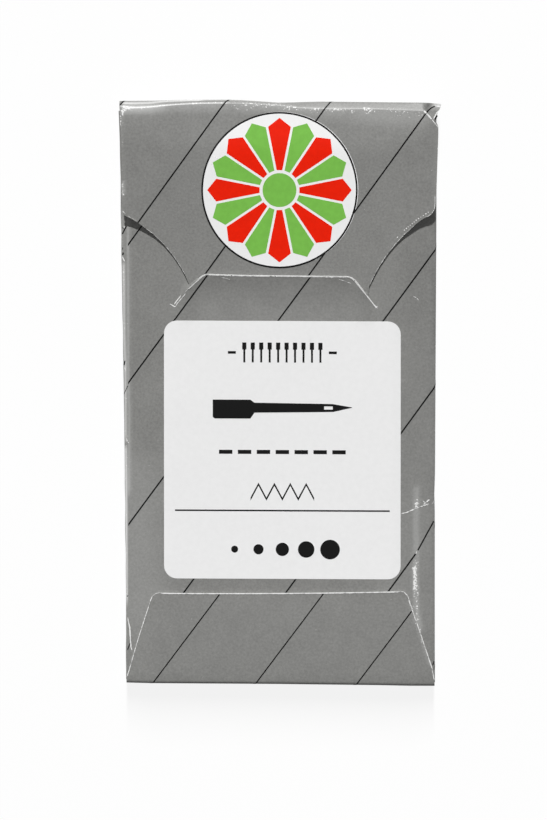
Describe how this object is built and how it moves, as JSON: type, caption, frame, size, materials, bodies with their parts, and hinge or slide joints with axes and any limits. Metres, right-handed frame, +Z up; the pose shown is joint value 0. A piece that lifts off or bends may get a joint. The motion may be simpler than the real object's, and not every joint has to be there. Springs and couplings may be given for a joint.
{
  "type": "sewing machine needle packet",
  "caption": "Closed paper packet of sewing machine needles, with a tucked top flap, a glued bottom flap, pinstripes, a white field and a round patchwork badge.",
  "frame": {"origin": "under the middle of the packet, on the face it lies on", "axes": "+X across the packet to its right, +Y along it from the glued end to the tucked end, +Z up out of the front"},
  "size_m": [0.032, 0.0584, 0.0047],
  "materials": {
    "packet": "grey print on white coated paper, satin varnish",
    "white_print": "white field, satin varnish",
    "black_print": "black ink, satin varnish",
    "red_print": "red ink, satin varnish",
    "green_print": "green ink, satin varnish"
  },
  "bodies": {
    "root": {"packet": "packet", "white_print": "white_print", "black_print": "black_print", "red_print": "red_print", "green_print": "green_print"}
  },
  "joints": []
}
